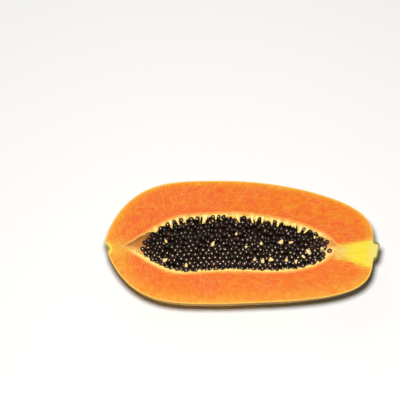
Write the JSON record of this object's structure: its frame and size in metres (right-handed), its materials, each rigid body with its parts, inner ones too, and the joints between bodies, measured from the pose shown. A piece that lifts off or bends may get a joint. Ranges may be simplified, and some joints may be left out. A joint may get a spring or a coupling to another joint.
{
  "type": "papaya half",
  "caption": "Half of a ripe papaya, cut lengthwise, with orange flesh and a cavity full of black seeds.",
  "frame": {"origin": "middle of the small flat spot that the round back rests on", "axes": "+X from the blossom end to the stem end, +Z out of the cut face, +Y to the side with the deeper cavity wall"},
  "size_m": [0.2735, 0.127, 0.0598],
  "materials": {
    "flesh_and_skin": "moist cut flesh on the cut face, smooth waxy skin with a mild sheen outside",
    "seeds": "wet and glossy"
  },
  "bodies": {
    "root": {"papaya_half": "flesh_and_skin", "seeds": "seeds"}
  },
  "joints": []
}
